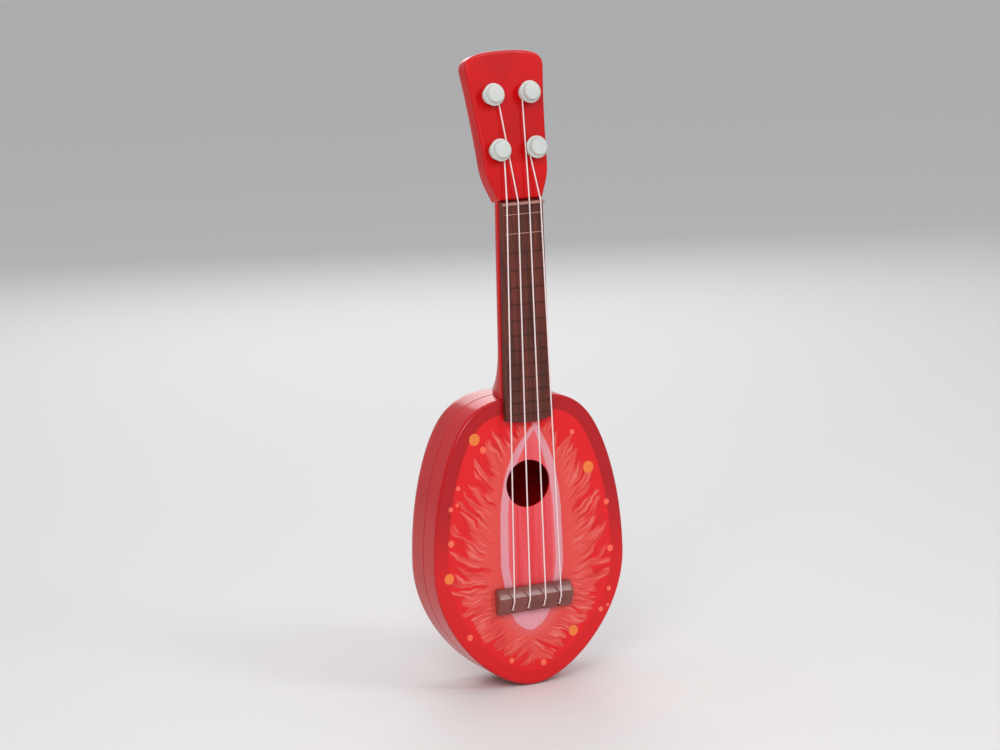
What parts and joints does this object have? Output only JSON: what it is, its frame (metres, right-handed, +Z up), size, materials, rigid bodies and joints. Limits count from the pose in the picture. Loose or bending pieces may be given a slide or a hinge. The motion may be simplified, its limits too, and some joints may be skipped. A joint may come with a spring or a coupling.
{
  "type": "toy guitar",
  "caption": "Small upright toy guitar with an egg-shaped hollow body, printed fruit face, short neck, leaning headstock, wound strings and turning pegs.",
  "frame": {"origin": "below the middle of the whole guitar, level with the lowest point of the body", "axes": "+Z up the neck, the face looks towards -Y, +X across to the right of someone facing it"},
  "size_m": [0.1188, 0.0462, 0.3599],
  "materials": {
    "face_red": "glossy, printed with a strawberry slice",
    "body_red": "glossy",
    "neck_red": "glossy",
    "board_brown": "satin, with a wood-like print",
    "bridge_mauve": "semi-gloss",
    "nylon": "clear, slightly milky",
    "peg_white": "satin",
    "washer_black": "matt",
    "screw_steel": "zinc plated"
  },
  "bodies": {
    "guitar": {"front_shell": "face_red", "back_shell": "body_red", "neck_front": "neck_red", "neck_back": "neck_red", "fretboard": "board_brown", "bridge": "bridge_mauve", "string_1": "nylon", "string_2": "nylon", "string_3": "nylon", "string_4": "nylon", "peg_washer_1": "washer_black", "peg_washer_2": "washer_black", "peg_washer_3": "washer_black", "peg_washer_4": "washer_black", "body_screw_1": "screw_steel", "body_screw_2": "screw_steel", "body_screw_3": "screw_steel", "body_screw_4": "screw_steel", "body_screw_5": "screw_steel", "body_screw_6": "screw_steel", "neck_screw_1": "screw_steel", "neck_screw_2": "screw_steel", "neck_screw_3": "screw_steel", "heel_screw_1": "screw_steel", "heel_screw_2": "screw_steel", "bridge_screw_1": "screw_steel", "bridge_screw_2": "screw_steel"},
    "peg_1": {"peg_post_1": "peg_white", "peg_key_1": "peg_white", "peg_screw_1": "screw_steel"},
    "peg_2": {"peg_post_2": "peg_white", "peg_key_2": "peg_white", "peg_screw_2": "screw_steel"},
    "peg_3": {"peg_post_3": "peg_white", "peg_key_3": "peg_white", "peg_screw_3": "screw_steel"},
    "peg_4": {"peg_post_4": "peg_white", "peg_key_4": "peg_white", "peg_screw_4": "screw_steel"}
  },
  "joints": [
    {"name": "peg_1_turn", "type": "hinge", "parent": "guitar", "child": "peg_1", "pos_m": [-0.0111, -0.00534, 0.33591], "axis": [0, 0.9781, -0.2079], "continuous": true},
    {"name": "peg_2_turn", "type": "hinge", "parent": "guitar", "child": "peg_2", "pos_m": [0.0111, -0.00534, 0.33591], "axis": [0, 0.9781, -0.2079], "continuous": true},
    {"name": "peg_3_turn", "type": "hinge", "parent": "guitar", "child": "peg_3", "pos_m": [-0.0111, -0.01175, 0.30578], "axis": [0, 0.9781, -0.2079], "continuous": true},
    {"name": "peg_4_turn", "type": "hinge", "parent": "guitar", "child": "peg_4", "pos_m": [0.0111, -0.01175, 0.30578], "axis": [0, 0.9781, -0.2079], "continuous": true}
  ]
}
